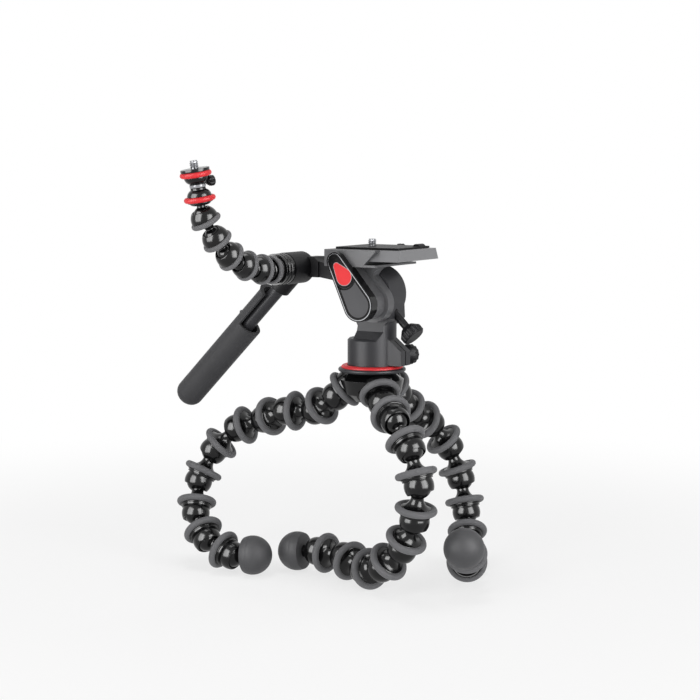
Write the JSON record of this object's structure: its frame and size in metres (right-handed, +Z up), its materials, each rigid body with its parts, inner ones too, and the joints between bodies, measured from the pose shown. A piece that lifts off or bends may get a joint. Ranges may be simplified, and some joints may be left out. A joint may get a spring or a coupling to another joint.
{
  "type": "flexible leg tripod",
  "caption": "Tripod with ball-jointed bead legs wrapped as round a pole, a small pan and tilt head with a quick release plate, a folding telescopic handle and a short bead accessory arm",
  "frame": {"origin": "middle of the bounding box in X and Y, on the floor that the legs stand on", "axes": "+Z is up, X runs along the pole that the legs are bent for, and the picture looks along +Y"},
  "size_m": [0.2523, 0.1746, 0.3275],
  "materials": {
    "black_abs": "gloss black moulded ABS",
    "grey_tpe": "matte grey moulded rubber",
    "dark_alloy": "satin dark grey paint on die cast alloy",
    "grey_alloy": "satin mid grey paint on die cast alloy",
    "red_alloy": "gloss red anodised alloy",
    "red_plastic": "gloss red moulded plastic",
    "dark_plastic": "matte dark grey moulded plastic",
    "steel": "turned steel",
    "grip_rubber": "textured dark grey rubber"
  },
  "bodies": {
    "hub": {"leg_hub": "black_abs", "hub_rings": "grey_tpe", "mount_disc": "dark_alloy", "trim_ring": "red_alloy"},
    "pan_head": {"pan_base": "dark_alloy"},
    "tilt_head": {"tilt_body": "grey_alloy", "side_cover": "black_abs", "badge": "red_plastic", "cover_panel": "grey_alloy", "tilt_axle": "steel", "plate_holder": "grey_alloy", "handle_bracket": "dark_alloy", "arm_base": "black_abs"},
    "pan_lock_knob": {"pan_lock_knob": "dark_plastic"},
    "tilt_lock_knob": {"tilt_lock_knob": "dark_plastic"},
    "plate": {"plate": "grey_alloy"},
    "camera_screw": {"camera_screw": "steel"},
    "plate_lock_knob": {"plate_lock_knob": "dark_plastic"},
    "handle": {"knuckle_clamp": "dark_plastic", "handle_bar": "dark_alloy"},
    "handle_grip": {"handle_grip": "grip_rubber"},
    "arm_lock_ring": {"arm_lock_ring": "dark_plastic"},
    "arm_link_1": {"arm_link_1": "black_abs"},
    "arm_link_2": {"arm_link_2": "black_abs"},
    "arm_link_3": {"arm_link_3": "black_abs"},
    "arm_link_4": {"arm_link_4": "black_abs"},
    "arm_link_5": {"arm_link_5": "black_abs"},
    "arm_tip": {"arm_tip": "black_abs"},
    "tip_swivel": {"tip_swivel": "black_abs"},
    "tip_clamp_screw": {"tip_clamp_screw": "dark_plastic"},
    "front_leg_link_1": {"front_leg_link_1": "black_abs"},
    "front_leg_link_2": {"front_leg_link_2": "black_abs"},
    "front_leg_link_3": {"front_leg_link_3": "black_abs"},
    "front_leg_link_4": {"front_leg_link_4": "black_abs"},
    "front_leg_link_5": {"front_leg_link_5": "black_abs"},
    "front_leg_link_6": {"front_leg_link_6": "black_abs"},
    "front_leg_link_7": {"front_leg_link_7": "black_abs"},
    "front_leg_link_8": {"front_leg_link_8": "black_abs"},
    "front_leg_link_9": {"front_leg_link_9": "black_abs"},
    "front_leg_foot": {"front_leg_foot": "grey_tpe"},
    "right_leg_link_1": {"right_leg_link_1": "black_abs"},
    "right_leg_link_2": {"right_leg_link_2": "black_abs"},
    "right_leg_link_3": {"right_leg_link_3": "black_abs"},
    "right_leg_link_4": {"right_leg_link_4": "black_abs"},
    "right_leg_link_5": {"right_leg_link_5": "black_abs"},
    "right_leg_link_6": {"right_leg_link_6": "black_abs"},
    "right_leg_link_7": {"right_leg_link_7": "black_abs"},
    "right_leg_link_8": {"right_leg_link_8": "black_abs"},
    "right_leg_link_9": {"right_leg_link_9": "black_abs"},
    "right_leg_foot": {"right_leg_foot": "grey_tpe"},
    "left_leg_link_1": {"left_leg_link_1": "black_abs"},
    "left_leg_link_2": {"left_leg_link_2": "black_abs"},
    "left_leg_link_3": {"left_leg_link_3": "black_abs"},
    "left_leg_link_4": {"left_leg_link_4": "black_abs"},
    "left_leg_link_5": {"left_leg_link_5": "black_abs"},
    "left_leg_link_6": {"left_leg_link_6": "black_abs"},
    "left_leg_link_7": {"left_leg_link_7": "black_abs"},
    "left_leg_link_8": {"left_leg_link_8": "black_abs"},
    "left_leg_link_9": {"left_leg_link_9": "black_abs"},
    "left_leg_foot": {"left_leg_foot": "grey_tpe"}
  },
  "joints": [
    {"name": "pan", "type": "hinge", "parent": "hub", "child": "pan_head", "pos_m": [0.0322, 0.0019, 0.16768], "axis": [0, 0, 1], "continuous": true},
    {"name": "tilt", "type": "hinge", "parent": "pan_head", "child": "tilt_head", "pos_m": [0.0322, 0.0019, 0.22468], "axis": [0.5299, 0.848, 0], "range_deg": [-8, 45]},
    {"name": "pan_lock_turn", "type": "hinge", "parent": "pan_head", "child": "pan_lock_knob", "pos_m": [0.05626, -0.00488, 0.17768], "axis": [0.5299, 0.848, 0], "range_deg": [-270, 0]},
    {"name": "tilt_lock_turn", "type": "hinge", "parent": "pan_head", "child": "tilt_lock_knob", "pos_m": [0.05319, -0.00886, 0.20618], "axis": [0.5997, -0.3747, -0.7071], "range_deg": [-270, 0]},
    {"name": "plate_slide", "type": "slide", "parent": "tilt_head", "child": "plate", "axis": [-0.848, 0.5299, 0], "range_m": [-0.012, 0.01]},
    {"name": "camera_screw_turn", "type": "hinge", "parent": "plate", "child": "camera_screw", "pos_m": [0.0322, 0.0019, 0.25158], "axis": [0, 0, 1], "continuous": true},
    {"name": "plate_lock_turn", "type": "hinge", "parent": "tilt_head", "child": "plate_lock_knob", "pos_m": [0.05022, 0.03073, 0.25583], "axis": [0.5299, 0.848, 0], "range_deg": [-270, 0]},
    {"name": "handle_fold", "type": "hinge", "parent": "tilt_head", "child": "handle", "pos_m": [-0.02568, 0.00741, 0.24468], "axis": [0.5299, 0.848, 0], "range_deg": [0, 120]},
    {"name": "grip_slide", "type": "slide", "parent": "handle", "child": "handle_grip", "axis": [-0.5997, 0.3747, -0.7071], "range_m": [0, 0.045]},
    {"name": "arm_lock_turn", "type": "hinge", "parent": "tilt_head", "child": "arm_lock_ring", "pos_m": [-0.02568, 0.00741, 0.24468], "axis": [0.5299, 0.848, 0], "range_deg": [-90, 0]},
    {"name": "arm_ball_1", "type": "hinge", "parent": "tilt_head", "child": "arm_link_1", "pos_m": [-0.04422, -0.02227, 0.24468], "axis": [-0.7278, 0.4548, -0.5134], "range_deg": [-35, 24]},
    {"name": "arm_ball_2", "type": "hinge", "parent": "arm_link_1", "child": "arm_link_2", "pos_m": [-0.05411, -0.03639, 0.24618], "axis": [-0.7591, 0.4852, -0.4339], "range_deg": [-41, 18]},
    {"name": "arm_ball_3", "type": "hinge", "parent": "arm_link_2", "child": "arm_link_3", "pos_m": [-0.06485, -0.04919, 0.25066], "axis": [-0.782, 0.5619, -0.2696], "range_deg": [-45, 14]},
    {"name": "arm_ball_4", "type": "hinge", "parent": "arm_link_3", "child": "arm_link_4", "pos_m": [-0.07544, -0.05979, 0.25931], "axis": [-0.7548, 0.6409, -0.1395], "range_deg": [-50, 9]},
    {"name": "arm_ball_5", "type": "hinge", "parent": "arm_link_4", "child": "arm_link_5", "pos_m": [-0.08396, -0.06694, 0.27256], "axis": [0.8342, -0.4751, 0.2799], "range_deg": [-18, 41]},
    {"name": "arm_ball_6", "type": "hinge", "parent": "arm_link_5", "child": "arm_tip", "pos_m": [-0.09145, -0.07126, 0.28755], "axis": [-0.5, 0.866, 0], "range_deg": [-50, 9]},
    {"name": "tip_swivel_turn", "type": "hinge", "parent": "arm_tip", "child": "tip_swivel", "pos_m": [-0.09596, -0.07387, 0.31709], "axis": [-0.1504, -0.0868, 0.9848], "continuous": true},
    {"name": "tip_clamp_turn", "type": "hinge", "parent": "tip_swivel", "child": "tip_clamp_screw", "pos_m": [-0.08951, -0.07014, 0.3117], "axis": [0.8529, 0.4924, 0.1736], "range_deg": [-270, 0]},
    {"name": "front_ball_1", "type": "hinge", "parent": "hub", "child": "front_leg_link_1", "pos_m": [0.03978, -0.02638, 0.14357], "axis": [-0.9, -0.3971, 0.1795], "range_deg": [-51, 10]},
    {"name": "front_ball_2", "type": "hinge", "parent": "front_leg_link_1", "child": "front_leg_link_2", "pos_m": [0.04862, -0.05066, 0.13416], "axis": [0.9106, 0.1891, 0.3674], "range_deg": [-58, 3]},
    {"name": "front_ball_3", "type": "hinge", "parent": "front_leg_link_2", "child": "front_leg_link_3", "pos_m": [0.05977, -0.06659, 0.11472], "axis": [0.8456, 0.5315, 0.0496], "range_deg": [-56, 5]},
    {"name": "front_ball_4", "type": "hinge", "parent": "front_leg_link_3", "child": "front_leg_link_4", "pos_m": [0.06581, -0.0738, 0.08888], "axis": [-0.766, -0.6428, 0], "range_deg": [0, 61]},
    {"name": "front_ball_5", "type": "hinge", "parent": "front_leg_link_4", "child": "front_leg_link_5", "pos_m": [0.06275, -0.07014, 0.0618], "axis": [0.766, 0.6428, 0], "range_deg": [-51, 10]},
    {"name": "front_ball_6", "type": "hinge", "parent": "front_leg_link_5", "child": "front_leg_link_6", "pos_m": [0.05391, -0.05961, 0.03798], "axis": [0.6442, 0.7587, 0.0965], "range_deg": [-51, 10]},
    {"name": "front_ball_7", "type": "hinge", "parent": "front_leg_link_6", "child": "front_leg_link_7", "pos_m": [0.03901, -0.04471, 0.0203], "axis": [0.8405, 0.36, -0.4049], "range_deg": [-59, 2]},
    {"name": "front_ball_8", "type": "hinge", "parent": "front_leg_link_7", "child": "front_leg_link_8", "pos_m": [0.02573, -0.0217, 0.01319], "axis": [0.8228, 0.5347, 0.1927], "range_deg": [-56, 5]},
    {"name": "front_ball_9", "type": "hinge", "parent": "front_leg_link_8", "child": "front_leg_link_9", "pos_m": [0.0102, 0.00048, 0.01796], "axis": [-0.3619, -0.4313, 0.8264], "range_deg": [-48, 13]},
    {"name": "front_ball_10", "type": "hinge", "parent": "front_leg_link_9", "child": "front_leg_foot", "pos_m": [-0.01087, 0.01816, 0.01796], "axis": [-0.2058, -0.2453, 0.9473], "range_deg": [-46, 15]},
    {"name": "right_ball_1", "type": "hinge", "parent": "hub", "child": "right_leg_link_1", "pos_m": [0.0529, 0.0226, 0.14357], "axis": [0.3933, 0.5125, 0.7633], "range_deg": [-21, 19]},
    {"name": "right_ball_2", "type": "hinge", "parent": "right_leg_link_1", "child": "right_leg_link_2", "pos_m": [0.06344, 0.04085, 0.12589], "axis": [0.3929, -0.7468, -0.5366], "range_deg": [-41, 11]},
    {"name": "right_ball_3", "type": "hinge", "parent": "right_leg_link_2", "child": "right_leg_link_3", "pos_m": [0.08106, 0.05847, 0.11427], "axis": [-0.7661, 0.4984, -0.4058], "range_deg": [-60, 1]},
    {"name": "right_ball_4", "type": "hinge", "parent": "right_leg_link_3", "child": "right_leg_link_4", "pos_m": [0.09708, 0.06594, 0.0932], "axis": [-0.7034, 0.6408, -0.3076], "range_deg": [-58, 3]},
    {"name": "right_ball_5", "type": "hinge", "parent": "right_leg_link_4", "child": "right_leg_link_5", "pos_m": [0.10616, 0.06351, 0.06736], "axis": [-0.7275, 0.6104, -0.3133], "range_deg": [-47, 11]},
    {"name": "right_ball_6", "type": "hinge", "parent": "right_leg_link_5", "child": "right_leg_link_6", "pos_m": [0.11014, 0.05498, 0.04152], "axis": [-0.9511, 0.2183, -0.2183], "range_deg": [-58, 3]},
    {"name": "right_ball_7", "type": "hinge", "parent": "right_leg_link_6", "child": "right_leg_link_7", "pos_m": [0.11014, 0.03554, 0.02208], "axis": [-0.9815, 0.1353, -0.1353], "range_deg": [-56, 5]},
    {"name": "right_ball_8", "type": "hinge", "parent": "right_leg_link_7", "child": "right_leg_link_8", "pos_m": [0.10789, 0.00979, 0.01267], "axis": [-0.9962, 0.0872, 0], "range_deg": [-61, 1]},
    {"name": "right_ball_9", "type": "hinge", "parent": "right_leg_link_8", "child": "right_leg_link_9", "pos_m": [0.10553, -0.01719, 0.01745], "axis": [-0.9962, 0.0872, 0], "range_deg": [-55, 6]},
    {"name": "right_ball_10", "type": "hinge", "parent": "right_leg_link_9", "child": "right_leg_foot", "pos_m": [0.10356, -0.03963, 0.03322], "axis": [-0.955, 0.222, 0.1969], "range_deg": [-10, 51]},
    {"name": "left_ball_1", "type": "hinge", "parent": "hub", "child": "left_leg_link_1", "pos_m": [0.00392, 0.00948, 0.14357], "axis": [0.663, 0.0533, -0.7467], "range_deg": [-57, 4]},
    {"name": "left_ball_2", "type": "hinge", "parent": "left_leg_link_1", "child": "left_leg_link_2", "pos_m": [-0.01292, 0.02632, 0.12982], "axis": [0.6914, 0.7215, 0.0369], "range_deg": [-41, 2]},
    {"name": "left_ball_3", "type": "hinge", "parent": "left_leg_link_2", "child": "left_leg_link_3", "pos_m": [-0.03664, 0.04002, 0.12742], "axis": [-0.0748, -0.2961, -0.9522], "range_deg": [-47, 11]},
    {"name": "left_ball_4", "type": "hinge", "parent": "left_leg_link_3", "child": "left_leg_link_4", "pos_m": [-0.05492, 0.05829, 0.11802], "axis": [-0.284, 0.1988, 0.938], "range_deg": [-49, 12]},
    {"name": "left_ball_5", "type": "hinge", "parent": "left_leg_link_4", "child": "left_leg_link_5", "pos_m": [-0.07834, 0.06921, 0.10861], "axis": [-0.5102, -0.7777, 0.3674], "range_deg": [-58, 3]},
    {"name": "left_ball_6", "type": "hinge", "parent": "left_leg_link_5", "child": "left_leg_link_6", "pos_m": [-0.09749, 0.07259, 0.08917], "axis": [-0.6037, -0.633, 0.4846], "range_deg": [-58, 3]},
    {"name": "left_ball_7", "type": "hinge", "parent": "left_leg_link_6", "child": "left_leg_link_7", "pos_m": [-0.1094, 0.06571, 0.06535], "axis": [-0.4782, -0.7507, 0.4558], "range_deg": [-57, 4]},
    {"name": "left_ball_8", "type": "hinge", "parent": "left_leg_link_7", "child": "left_leg_link_8", "pos_m": [-0.11059, 0.05201, 0.04154], "axis": [-0.5167, -0.7307, 0.4463], "range_deg": [-60, 1]},
    {"name": "left_ball_9", "type": "hinge", "parent": "left_leg_link_8", "child": "left_leg_link_9", "pos_m": [-0.10006, 0.03377, 0.02386], "axis": [-0.2445, -0.7438, 0.622], "range_deg": [-60, 1]},
    {"name": "left_ball_10", "type": "hinge", "parent": "left_leg_link_9", "child": "left_leg_foot", "pos_m": [-0.07889, 0.01895, 0.01445], "axis": [-0.337, -0.7982, 0.4994], "range_deg": [-60, 1]}
  ]
}
